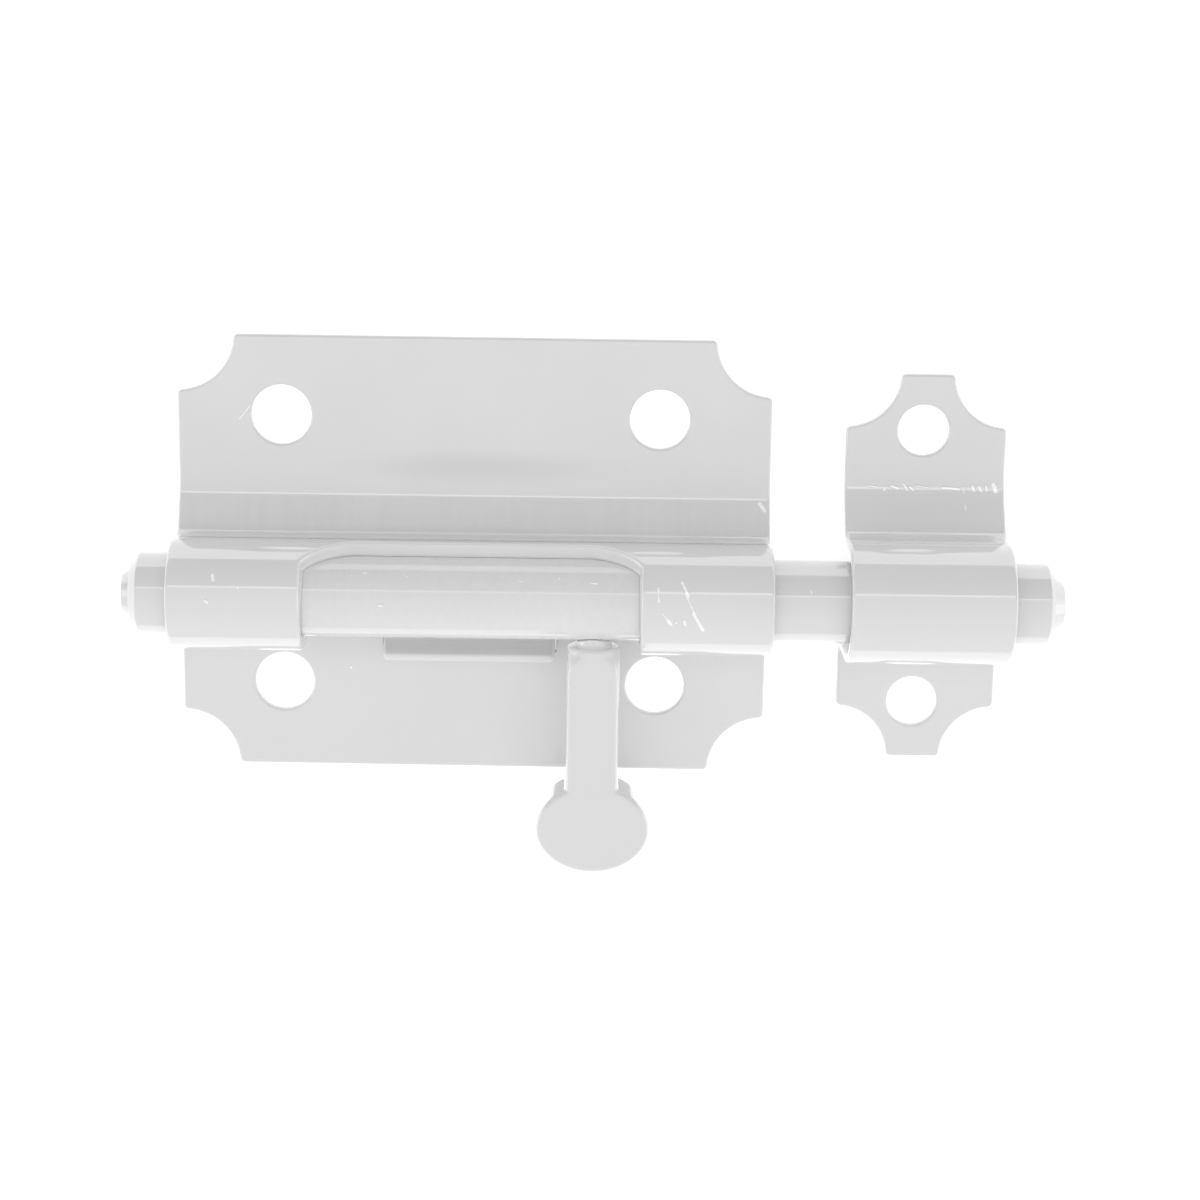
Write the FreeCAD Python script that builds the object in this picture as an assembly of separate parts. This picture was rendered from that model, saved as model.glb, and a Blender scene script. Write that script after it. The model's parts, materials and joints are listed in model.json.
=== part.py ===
import math
import os

import FreeCAD
import Part

# Surface bolt lying on its back, in millimetres. The mounting plane is z = 0, +Z looks out at the
# viewer, +X runs along the rod to the strike, and the origin is the middle of the plate's screws.

# Formed sheet, common to the plate and the strike
SHEET = 1.0
AXIS_Y = -3.3
AXIS_Z = 7.0
ROD_R = 4.15
CREASE_R = 1.1
SHOULDER_R = 1.5
FOOT_R = 1.3
CORNER_SOFTENING = 0.4

# Bolt plate
PLATE_LENGTH = 60.0
PLATE_SHIFT_X = 0.45
PLATE_TOP_Y = 22.0
PLATE_BOTTOM_Y = -22.6
PLATE_NOTCH_R = 5.7
PLATE_CREASE_Y = 6.0
PLATE_RAMP_DEG = 25.0
PLATE_PINCH_DEG = 8.0
PLATE_BORE_PLAY = 0.4
SCREW_SPACING_X = 38.2
SCREW_SPACING_Y = 27.8
SCREW_HOLE_R = 3.0

# Window over the rod and the lock tab that stands between its two legs, leaning off the rod
WINDOW_LENGTH = 33.6
WINDOW_CORNER_R = 3.5
LEG_END_Y = -8.5
TAB_WIDTH = 17.6
TAB_FOOT_Y = -10.5
TAB_BEND_R = 1.0
TAB_LEAN_DEG = 15.0
TAB_UNDER_SHANK = 0.3
TAB_CORNER_R = 0.6

# Strike plate
STRIKE_LEFT_X = 37.95
STRIKE_WIDTH = 16.3
STRIKE_TOP_Y = 18.9
STRIKE_BOTTOM_Y = -21.2
STRIKE_NOTCH_R = 5.4
STRIKE_CREASE_Y = 7.2
STRIKE_RAMP_DEG = 35.0
STRIKE_PINCH_DEG = 0.0
STRIKE_BORE_PLAY = 1.0
STRIKE_HOLE_INSET_X = 7.85
STRIKE_HOLE_MID_Y = -1.0
STRIKE_HOLE_SPACING = 28.4
STRIKE_HOLE_R = 2.57

# Rod
ROD_LEFT_X = -34.8
ROD_RIGHT_X = 60.0
ROD_CHAMFER = 0.8
LEFT_NOSE_R = 2.1
LEFT_NOSE_LENGTH = 1.05
RIGHT_NOSE_R = 2.75
RIGHT_NOSE_LENGTH = 1.4
NOSE_EDGE_R = 0.35

# Knob
KNOB_X = 12.65
SHANK_R = 2.65
SHANK_TO_ROD = 0.05
SHANK_END_CHAMFER = 0.3
HEAD_REACH = 23.5
HEAD_HALF_WIDTH = 5.55
HEAD_HALF_LENGTH = 4.6
HEAD_OVER_SHANK = 0.05
HEAD_EDGE_R = 0.7

PLATE_LEFT_X = PLATE_SHIFT_X - PLATE_LENGTH / 2
PLATE_RIGHT_X = PLATE_LEFT_X + PLATE_LENGTH
STRIKE_RIGHT_X = STRIKE_LEFT_X + STRIKE_WIDTH
TAB_TOP_Z = AXIS_Z - SHANK_R - TAB_UNDER_SHANK
ABOVE_ALL = AXIS_Z + 3 * ROD_R
TOUCH = 1e-6


def at(x, y, z):
    return FreeCAD.Vector(x, y, z)


def box(x0, x1, y0, y1, z0, z1):
    return Part.makeBox(x1 - x0, y1 - y0, z1 - z0, at(x0, y0, z0))


def upright_cylinder(x, y, radius):
    return Part.makeCylinder(radius, ABOVE_ALL + SHEET, at(x, y, -SHEET))


def edges_where(shape, wanted):
    return [edge for edge in shape.Edges if wanted(edge)]


def line_step(point, heading, length):
    """Ahead is -Y and a heading of a quarter turn is +Z; both faces of the sheet follow the line."""
    ahead = at(0, -math.cos(heading), math.sin(heading)) * length
    side = at(0, math.sin(heading), math.cos(heading)) * (SHEET / 2)
    outer = Part.makeLine(point + side, point + ahead + side)
    inner = Part.makeLine(point - side, point + ahead - side)
    return point + ahead, heading, outer, inner


def bend_step(point, heading, radius, turn):
    """Bends the sheet about a centre on the side it turns to; radius is that of its middle."""
    sign = math.copysign(1, turn)
    centre = point + at(0, math.sin(heading), math.cos(heading)) * (radius * sign)
    faces = []
    for offset in (SHEET / 2, -SHEET / 2):
        face_radius = radius - sign * offset
        knots = []
        for share in (0, 0.5, 1):
            angle = heading + turn * share
            out = at(0, math.sin(angle), math.cos(angle)) * (-sign * face_radius)
            knots.append(centre + out)
        faces.append(Part.Arc(*knots).toShape())
    end = centre + at(0, math.sin(heading + turn), math.cos(heading + turn)) * (-radius * sign)
    return end, heading + turn, faces[0], faces[1]


def bend_travel(radius, start, end):
    """How far a bend moves the sheet ahead and up."""
    ahead = radius * (math.sin(end) - math.sin(start))
    up = radius * (math.cos(start) - math.cos(end))
    return ahead, up


def formed_sheet(start, steps, x0, x1):
    """Walks the steps in the Y-Z plane and draws the sheet out from x0 to x1."""
    point, heading = start, 0.0
    outer, inner = [], []
    for kind, *values in steps:
        step = line_step if kind == "run" else bend_step
        point, heading, upper, lower = step(point, heading, *values)
        outer.append(upper)
        inner.append(lower)
    start_cap = Part.makeLine(inner[0].firstVertex().Point, outer[0].firstVertex().Point)
    end_cap = Part.makeLine(inner[-1].lastVertex().Point, outer[-1].lastVertex().Point)
    rim = Part.Wire(Part.__sortEdges__([start_cap, end_cap] + outer + inner))
    section = Part.Face(rim)
    section.translate(at(x0, 0, 0))
    return section.extrude(at(x1 - x0, 0, 0))


def sleeve_section(x0, x1, top_y, bottom_y, crease_y, ramp_deg, pinch_deg, play):
    """Flange, ramp, sleeve round the rod and flange again, as one strip of sheet."""
    ramp = math.radians(ramp_deg)
    steep = math.radians(90 + pinch_deg)
    sleeve_r = ROD_R + play + SHEET / 2
    side_y = sleeve_r * math.sin(steep)
    side_z = AXIS_Z + sleeve_r * math.cos(steep)
    crease = bend_travel(CREASE_R, 0, ramp)
    shoulder = bend_travel(SHOULDER_R, ramp, steep)
    ahead = crease_y - (AXIS_Y + side_y) - crease[0] - shoulder[0]
    up = side_z - SHEET / 2 - crease[1] - shoulder[1]
    spread = math.sin(steep - ramp)
    ramp_run = (ahead * math.sin(steep) - up * math.cos(steep)) / spread
    wall_run = (up * math.cos(ramp) - ahead * math.sin(ramp)) / spread
    foot = bend_travel(FOOT_R, -steep, 0)
    foot_run = (side_z - SHEET / 2 + foot[1]) / math.sin(steep)
    foot_y = AXIS_Y - side_y - foot_run * math.cos(steep) - foot[0]
    steps = [
        ("run", top_y - crease_y),
        ("bend", CREASE_R, ramp),
        ("run", ramp_run),
        ("bend", SHOULDER_R, steep - ramp),
        ("run", wall_run),
        ("bend", sleeve_r, -2 * steep),
        ("run", foot_run),
        ("bend", FOOT_R, steep),
        ("run", foot_y - bottom_y),
    ]
    return formed_sheet(at(0, top_y, SHEET / 2), steps, x0, x1)


def notch_corners(sheet, x0, x1, y0, y1, radius):
    """Concave quarter rounds at the corners, with their points softened."""
    for x in (x0, x1):
        for y in (y0, y1):
            sheet = sheet.cut(upright_cylinder(x, y, radius))
    tips = edges_where(
        sheet,
        lambda edge: abs(edge.BoundBox.ZLength - SHEET) < TOUCH
        and edge.BoundBox.XLength < TOUCH
        and edge.BoundBox.YLength < TOUCH,
    )
    return sheet.makeFillet(CORNER_SOFTENING, tips)


def window_cutter():
    """Opens the sleeve over the rod, with rounded corners on its far side and open to the flange."""
    x0 = PLATE_SHIFT_X - WINDOW_LENGTH / 2
    x1 = x0 + WINDOW_LENGTH
    far = box(x0, x1, AXIS_Y, PLATE_CREASE_Y, AXIS_Z, ABOVE_ALL)
    low = edges_where(
        far,
        lambda edge: edge.BoundBox.XLength < TOUCH
        and edge.BoundBox.ZLength < TOUCH
        and edge.BoundBox.ZMin < AXIS_Z + TOUCH,
    )
    far = far.makeFillet(WINDOW_CORNER_R, low)
    near = box(x0, x1, PLATE_BOTTOM_Y, AXIS_Y, SHEET, ABOVE_ALL)
    floor = box(x0, x1, LEG_END_Y, AXIS_Y, -SHEET, 2 * SHEET)
    return far.fuse([near, floor])


def lock_tab():
    """Tongue of the flange between the legs, bent up past square so that it leans off the rod."""
    lean = math.radians(TAB_LEAN_DEG)
    turn = math.radians(90) + lean
    corner_drop = SHEET * math.sin(lean)
    bend = bend_travel(TAB_BEND_R, 0, turn)
    rise = TAB_TOP_Z - corner_drop / 2 - SHEET / 2 - bend[1]
    # the walk runs to -Y, so the tab is walked there and then turned about to face +Y
    steps = [
        ("run", SHEET),
        ("bend", TAB_BEND_R, turn),
        ("run", rise / math.sin(turn)),
    ]
    start = at(0, SHEET - TAB_FOOT_Y, SHEET / 2)
    tab = formed_sheet(start, steps, -TAB_WIDTH / 2, TAB_WIDTH / 2)
    tab.rotate(at(0, 0, 0), at(0, 0, 1), 180)
    corners = edges_where(
        tab,
        lambda edge: edge.BoundBox.ZMin > TAB_TOP_Z - corner_drop - TOUCH
        and edge.BoundBox.XLength < TOUCH,
    )
    return tab.makeFillet(TAB_CORNER_R, corners)


def bolt_plate():
    sheet = sleeve_section(
        PLATE_LEFT_X,
        PLATE_RIGHT_X,
        PLATE_TOP_Y,
        PLATE_BOTTOM_Y,
        PLATE_CREASE_Y,
        PLATE_RAMP_DEG,
        PLATE_PINCH_DEG,
        PLATE_BORE_PLAY,
    )
    sheet = notch_corners(
        sheet, PLATE_LEFT_X, PLATE_RIGHT_X, PLATE_BOTTOM_Y, PLATE_TOP_Y, PLATE_NOTCH_R
    )
    sheet = sheet.cut(window_cutter())
    tab_bed = box(
        -TAB_WIDTH / 2, TAB_WIDTH / 2, TAB_FOOT_Y, LEG_END_Y + SHEET, -SHEET, ABOVE_ALL
    )
    sheet = sheet.cut(tab_bed).fuse(lock_tab())
    for side_x in (-1, 1):
        for side_y in (-1, 1):
            hole = upright_cylinder(
                side_x * SCREW_SPACING_X / 2, side_y * SCREW_SPACING_Y / 2, SCREW_HOLE_R
            )
            sheet = sheet.cut(hole)
    return sheet.removeSplitter()


def strike_plate():
    sheet = sleeve_section(
        STRIKE_LEFT_X,
        STRIKE_RIGHT_X,
        STRIKE_TOP_Y,
        STRIKE_BOTTOM_Y,
        STRIKE_CREASE_Y,
        STRIKE_RAMP_DEG,
        STRIKE_PINCH_DEG,
        STRIKE_BORE_PLAY,
    )
    sheet = notch_corners(
        sheet, STRIKE_LEFT_X, STRIKE_RIGHT_X, STRIKE_BOTTOM_Y, STRIKE_TOP_Y, STRIKE_NOTCH_R
    )
    hole_x = STRIKE_LEFT_X + STRIKE_HOLE_INSET_X
    for side in (-1, 1):
        hole_y = STRIKE_HOLE_MID_Y + side * STRIKE_HOLE_SPACING / 2
        sheet = sheet.cut(upright_cylinder(hole_x, hole_y, STRIKE_HOLE_R))
    return sheet.removeSplitter()


def along_rod(x0, x1, radius):
    return Part.makeCylinder(radius, x1 - x0, at(x0, AXIS_Y, AXIS_Z), at(1, 0, 0))


def rod_nose(root_x, end_x, radius):
    """Turned-down end of the bar, with its outer edge rounded; its root lies inside the bar."""
    nose = along_rod(min(root_x, end_x), max(root_x, end_x), radius)
    tip = edges_where(
        nose,
        lambda edge: edge.BoundBox.XLength < TOUCH and abs(edge.BoundBox.XMin - end_x) < TOUCH,
    )
    return nose.makeFillet(NOSE_EDGE_R, tip)


def bolt_rod():
    shoulder_left = ROD_LEFT_X + LEFT_NOSE_LENGTH
    shoulder_right = ROD_RIGHT_X - RIGHT_NOSE_LENGTH
    bar = along_rod(shoulder_left, shoulder_right, ROD_R)
    rims = edges_where(bar, lambda edge: edge.BoundBox.XLength < TOUCH)
    bar = bar.makeChamfer(ROD_CHAMFER, rims)
    left = rod_nose(shoulder_left + ROD_CHAMFER, ROD_LEFT_X, LEFT_NOSE_R)
    right = rod_nose(shoulder_right - ROD_CHAMFER, ROD_RIGHT_X, RIGHT_NOSE_R)
    return bar.fuse([left, right]).removeSplitter()


def knob():
    """Round shank square to the rod, run into a thick oval head that stands just over it."""
    top_y = AXIS_Y - ROD_R - SHANK_TO_ROD
    head_mid_y = AXIS_Y - HEAD_REACH
    shank = Part.makeCylinder(SHANK_R, top_y - head_mid_y, at(KNOB_X, top_y, AXIS_Z), at(0, -1, 0))
    near_end = edges_where(shank, lambda edge: edge.BoundBox.YMin > top_y - TOUCH)
    shank = shank.makeChamfer(SHANK_END_CHAMFER, near_end)
    half_thickness = SHANK_R + HEAD_OVER_SHANK
    centre = at(KNOB_X, head_mid_y, AXIS_Z - half_thickness)
    oval = Part.Ellipse(centre, HEAD_HALF_WIDTH, HEAD_HALF_LENGTH).toShape()
    head = Part.Face(Part.Wire(oval)).extrude(at(0, 0, 2 * half_thickness))
    rims = edges_where(head, lambda edge: edge.BoundBox.ZLength < TOUCH)
    head = head.makeFillet(HEAD_EDGE_R, rims)
    return shank.fuse(head).removeSplitter()


def write(name, shape):
    solid = shape.Solids[0] if len(shape.Solids) == 1 else shape
    solid.exportStep(os.path.join("parts", name + ".step"))


os.makedirs("parts", exist_ok=True)
write("bolt_plate", bolt_plate())
write("bolt_rod", bolt_rod())
write("knob", knob())
write("strike_plate", strike_plate())
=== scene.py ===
import json
import math

import bmesh
import bpy
from mathutils import Matrix, Vector


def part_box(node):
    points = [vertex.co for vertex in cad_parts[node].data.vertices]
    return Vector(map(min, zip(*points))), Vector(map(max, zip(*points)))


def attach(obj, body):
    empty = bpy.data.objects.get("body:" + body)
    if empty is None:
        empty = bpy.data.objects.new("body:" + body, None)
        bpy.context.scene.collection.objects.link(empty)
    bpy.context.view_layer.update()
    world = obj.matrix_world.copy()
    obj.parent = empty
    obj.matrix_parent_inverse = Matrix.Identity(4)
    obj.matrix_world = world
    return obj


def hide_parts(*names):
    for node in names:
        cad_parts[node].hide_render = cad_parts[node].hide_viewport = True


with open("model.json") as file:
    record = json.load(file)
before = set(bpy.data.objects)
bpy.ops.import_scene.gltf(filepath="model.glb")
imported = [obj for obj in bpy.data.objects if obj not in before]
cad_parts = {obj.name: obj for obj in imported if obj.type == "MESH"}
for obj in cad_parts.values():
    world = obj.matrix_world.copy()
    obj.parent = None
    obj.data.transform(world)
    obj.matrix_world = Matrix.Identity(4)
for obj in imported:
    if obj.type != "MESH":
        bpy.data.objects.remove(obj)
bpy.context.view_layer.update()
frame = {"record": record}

# Photographer's stand
# A small lens about a quarter of a metre above the bolt, a little up the door from it and
# leaning back down, so that the far sides of the sleeves show and the knob points at the viewer.
CAMERA_PLACE = Vector((0.010464, 0.055969, 0.255549))
CAMERA_RIGHT = Vector((0.99985, 0.01552, 0.00749))
CAMERA_AHEAD = Vector((0.0109, -0.2324, -0.9725)).normalized()
LENS_MM = 76.51
SENSOR_MM = 36.0
NEAREST_SEEN = 0.01

camera_up = CAMERA_RIGHT.cross(CAMERA_AHEAD).normalized()
camera_right = CAMERA_AHEAD.cross(camera_up)
camera_turn = Matrix((camera_right, camera_up, -CAMERA_AHEAD)).transposed()
camera_data = bpy.data.cameras.new("stand_camera")
camera_data.lens = LENS_MM
camera_data.sensor_width = SENSOR_MM
camera_data.sensor_fit = "HORIZONTAL"
camera_data.clip_start = NEAREST_SEEN
camera = bpy.data.objects.new("stand_camera", camera_data)
camera.matrix_world = Matrix.Translation(CAMERA_PLACE) @ camera_turn.to_4x4()
bpy.context.scene.collection.objects.link(camera)
bpy.context.scene.camera = camera

# Bolt plate
# A stamped blank of 1 mm steel sheet with four screw holes, a window and a tongue, pressed into a
# sleeve round the rod; the tongue is bent up between the window's legs as the lock. It is stove
# painted in gloss white over everything, which rounds every cut edge.
MM = 0.001
SHEET = 1.0 * MM
AXIS_Y = -3.3 * MM
AXIS_Z = 7.0 * MM
ROD_R = 4.15 * MM
SHOULDER_R = 2.5 * MM
FOOT_R = 1.3 * MM
TIP_R = 0.55 * MM
RIM_R = 0.36 * MM
RIM_STEPS = 5
# spare rows of points this close to each bend and rim keep the flat metal's shading flat
HOLD = 0.07 * MM
PLATE_BEAD = 0.37 * MM
BEAD_FADE = 1.2 * MM
BEAD_FLARE = 1.6
BEND_STEP = math.radians(3)
FEWEST_BEND_STEPS = 4
ARC_STEP = math.radians(6)
CUT_SLACK = 1e-8
PLATE_OVERCUT = 0.4 * MM
PLATE_SKEW = 0.2 * MM
PLATE_CREASE_Y = 7.55 * MM
PLATE_CREASE_R = 5.6 * MM
PLATE_NOTCH_R = 5.7 * MM
PLATE_RAMP = math.radians(25)
PLATE_PINCH = math.radians(8)
PLATE_PLAY = 0.4 * MM
WINDOW_LENGTH = 33.6 * MM
WINDOW_EDGE_RISE = math.radians(2)
WINDOW_CORNER_LENGTH = 5.0 * MM
WINDOW_CORNER_GIRTH = 3.5 * MM
WINDOW_CORNER_FULLNESS = 1.6
WINDOW_CORNER_STEPS = 16
# the window's legs end this far up the foot's bend from the near flange
LEG_LIP = 0.45 * MM
TAB_HALF_WIDTH = 8.8 * MM
TAB_FOOT_Y = -10.35 * MM
TAB_BEND_R = 1.0 * MM
TAB_LEAN = math.radians(33)
TAB_TOP_Z = 4.05 * MM
TAB_CORNER_R = 0.6 * MM
TAB_SLIT = 0.08 * MM
# beside the slits the paint's round is only this share of a free rim's
SHEARED_SHARE = 0.25
SHEARED_LENGTH = 2.5 * MM


def walk(steps, start_y, start_z, heading=0.0):
    """Middle line of the bent sheet in the Y-Z plane: its points, and how far along each one is."""
    y, z, reach = start_y, start_z, 0.0
    points, reaches = [(y, z)], [reach]

    def go_to(new_y, new_z):
        nonlocal y, z, reach
        reach += math.hypot(new_y - y, new_z - z)
        y, z = new_y, new_z
        points.append((y, z))
        reaches.append(reach)

    for kind, *values in steps:
        if kind == "run":
            length = values[0]
            if length > 4 * HOLD:
                for part in (HOLD, length - 2 * HOLD, HOLD):
                    go_to(y - math.cos(heading) * part, z + math.sin(heading) * part)
            else:
                go_to(y - math.cos(heading) * length, z + math.sin(heading) * length)
        else:
            radius, turn = values
            side = math.copysign(radius, turn)
            centre_y = y + math.sin(heading) * side
            centre_z = z + math.cos(heading) * side
            count = max(FEWEST_BEND_STEPS, round(abs(turn) / BEND_STEP))
            for _ in range(count):
                heading += turn / count
                go_to(centre_y - math.sin(heading) * side, centre_z - math.cos(heading) * side)
    return points, reaches


def bend_travel(radius, start, end):
    """How far a bend moves the sheet ahead and up."""
    ahead = radius * (math.sin(end) - math.sin(start))
    up = radius * (math.cos(start) - math.cos(end))
    return ahead, up


def sleeve_steps(top_y, bottom_y, crease_y, crease_r, ramp, pinch, play):
    """Steps of a section: flange, ramp, sleeve round the rod, and flange again.

    With them come the sleeve's middle radius, where its far side lies on the flat blank, and
    where its foot meets the near flange.
    """
    steep = math.pi / 2 + pinch
    sleeve_r = ROD_R + play + SHEET / 2
    side_y = sleeve_r * math.sin(steep)
    side_z = AXIS_Z + sleeve_r * math.cos(steep)
    crease = bend_travel(crease_r, 0, ramp)
    shoulder = bend_travel(SHOULDER_R, ramp, steep)
    ahead = crease_y - (AXIS_Y + side_y) - crease[0] - shoulder[0]
    up = side_z - SHEET / 2 - crease[1] - shoulder[1]
    spread = math.sin(steep - ramp)
    ramp_run = (ahead * math.sin(steep) - up * math.cos(steep)) / spread
    wall_run = (up * math.cos(ramp) - ahead * math.sin(ramp)) / spread
    foot = bend_travel(FOOT_R, -steep, 0)
    foot_run = (side_z - SHEET / 2 + foot[1]) / math.sin(steep)
    foot_y = AXIS_Y - side_y - foot_run * math.cos(steep) - foot[0]
    to_sleeve = top_y - crease_y + crease_r * ramp + ramp_run + SHOULDER_R * (steep - ramp) + wall_run
    steps = [
        ("run", top_y - crease_y),
        ("bend", crease_r, ramp),
        ("run", ramp_run),
        ("bend", SHOULDER_R, steep - ramp),
        ("run", wall_run),
        ("bend", sleeve_r, -2 * steep),
        ("run", foot_run),
        ("bend", FOOT_R, steep),
        ("run", foot_y - bottom_y),
    ]
    return steps, sleeve_r, to_sleeve + sleeve_r * pinch, foot_y


def section_line(name, points):
    """The middle line as a curve that the folding can measure along."""
    data = bpy.data.curves.new(name, "CURVE")
    data.dimensions = "3D"
    spline = data.splines.new("POLY")
    spline.points.add(len(points) - 1)
    for knot, (y, z) in zip(spline.points, points):
        knot.co = (0, y, z, 1)
    line = bpy.data.objects.new(name, data)
    bpy.context.scene.collection.objects.link(line)
    return line


def arc(centre, radius, start, end):
    """Points from the start angle to the end angle, both kept."""
    count = max(2, round(abs(end - start) / ARC_STEP))
    turns = [start + (end - start) * i / count for i in range(count + 1)]
    return [(centre[0] + radius * math.cos(a), centre[1] + radius * math.sin(a)) for a in turns]


def notched_corner(radius):
    """Concave quarter round with softened tips, from one side to the other; both sides are axes."""
    reach = math.sqrt((radius + TIP_R) ** 2 - TIP_R**2)
    lean = math.asin(TIP_R / (radius + TIP_R))
    first = arc((reach, TIP_R), TIP_R, -math.pi / 2, -math.pi + lean)
    bite = arc((0, 0), radius, lean, math.pi / 2 - lean)
    last = arc((TIP_R, reach), TIP_R, -math.pi / 2 - lean, -math.pi)
    return first[:-1] + bite + last[1:]


def notched_outline(x0, x1, s0, s1, radius, skew=0.0):
    """Outline of the blank with a notch at each corner, the metal on its left.

    The skew is how much shorter the blank was cut at its left end.
    """
    corner = notched_corner(radius)
    outline = [(x1 - u, s1 - v) for u, v in reversed(corner)]
    outline += [(x0 + u, s1 - skew - v) for u, v in corner]
    outline += [(x0 + u, s0 + v) for u, v in reversed(corner)]
    outline += [(x1 - u, s0 + v) for u, v in corner]
    return outline


def screw_hole(x, s, radius):
    """Round hole, walked so that the metal is on its left."""
    return arc((x, s), radius, 2 * math.pi, 0)[:-1]


def rim_profile(half, rim_r):
    """How far in from the cut edge and how high each ring of a painted rim lies, from the bottom."""
    turns = [math.pi / 2 * i / RIM_STEPS for i in range(RIM_STEPS + 1)]
    low = [(rim_r * (1 - math.sin(a)), -half + rim_r * (1 - math.cos(a))) for a in turns]
    high = [(inset, -height) for inset, height in reversed(low)]
    below = (rim_r + HOLD, -half)
    lip = (rim_r + HOLD / 5, -half)
    above = (rim_r + HOLD, half)
    return [below, lip] + low + high + [above]


def slab(loops, thickness, rim_r, cuts=(), bead=None, shears=()):
    """Closed plate with soft rims from loops that have the metal on their left.

    A bead of run paint hangs under the rims between two places along the blank, and the rims
    stay sharp within the boxes that the shears name.
    """
    work = bmesh.new()
    profile = rim_profile(thickness / 2, rim_r)
    ends = [[], []]
    for loop in loops:
        rings = [[] for _ in profile]
        for i, (x, s) in enumerate(loop):
            before, after = Vector(loop[i - 1]), Vector(loop[(i + 1) % len(loop)])
            here = Vector((x, s))
            a, b = (here - before).normalized(), (after - here).normalized()
            inward = Vector((-a.y - b.y, a.x + b.x)) / (1 + a.dot(b))
            hang, run = 0, 0
            if bead:
                depth, start, end = bead
                run = min(max(min(s - start, end - s) / BEAD_FADE, 0), 1)
                hang = depth * run
            sharp = any(x0 < x < x1 and s0 < s < s1 for x0, x1, s0, s1 in shears)
            for ring, (inset, height) in zip(rings, profile):
                on_rim = min(inset, rim_r)
                low = max(-height / thickness * 2, 0) if inset < rim_r + HOLD / 2 else 0
                kept = on_rim * (1 - BEAD_FLARE * run * low)
                if sharp:
                    kept *= SHEARED_SHARE
                place = here + inward * (kept + inset - on_rim)
                ring.append(work.verts.new((place.x, place.y, height - hang * low)))
        for low, high in zip(rings, rings[1:]):
            for i in range(len(loop)):
                j = (i + 1) % len(loop)
                work.faces.new((low[i], low[j], high[j], high[i]))
        for end, ring in zip(ends, (rings[0], rings[-1])):
            end += [work.edges.get((ring[i - 1], ring[i])) for i in range(len(ring))]
    for end in ends:
        bmesh.ops.triangle_fill(work, use_beauty=True, edges=end)
    for cut in cuts:
        everything = work.verts[:] + work.edges[:] + work.faces[:]
        bmesh.ops.bisect_plane(
            work, geom=everything, dist=CUT_SLACK, plane_co=(0, cut, 0), plane_no=(0, 1, 0)
        )
    bmesh.ops.recalc_face_normals(work, faces=work.faces)
    return work


def keep_mesh(work, name):
    """Turns the worked mesh into a smooth object at the origin."""
    mesh = bpy.data.meshes.new(name)
    work.to_mesh(mesh)
    work.free()
    mesh.shade_smooth()
    piece = bpy.data.objects.new(name, mesh)
    bpy.context.scene.collection.objects.link(piece)
    return piece


def add_input(tree, name, kind, value=None):
    """A named input of a tree."""
    socket = tree.interface.new_socket(name=name, in_out="INPUT", socket_type=kind)
    if value is not None:
        socket.default_value = value
    return socket


def node(tree, kind, **settings):
    """A new node with its settings."""
    made = tree.nodes.new(kind)
    for name, value in settings.items():
        setattr(made, name, value)
    return made


def maths(tree, operation, *values):
    """One number node; each value is a socket or a number."""
    made = node(tree, "ShaderNodeMath", operation=operation)
    for socket, value in zip(made.inputs, values):
        if isinstance(value, bpy.types.NodeSocket):
            tree.links.new(value, socket)
        else:
            socket.default_value = value
    return made.outputs[0]


def vectors(tree, operation, *values):
    """One vector node; each value is a socket or a vector. Gives the node."""
    made = node(tree, "ShaderNodeVectorMath", operation=operation)
    for socket, value in zip(made.inputs, values):
        if isinstance(value, bpy.types.NodeSocket):
            tree.links.new(value, socket)
        else:
            socket.default_value = value
    return made


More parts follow.
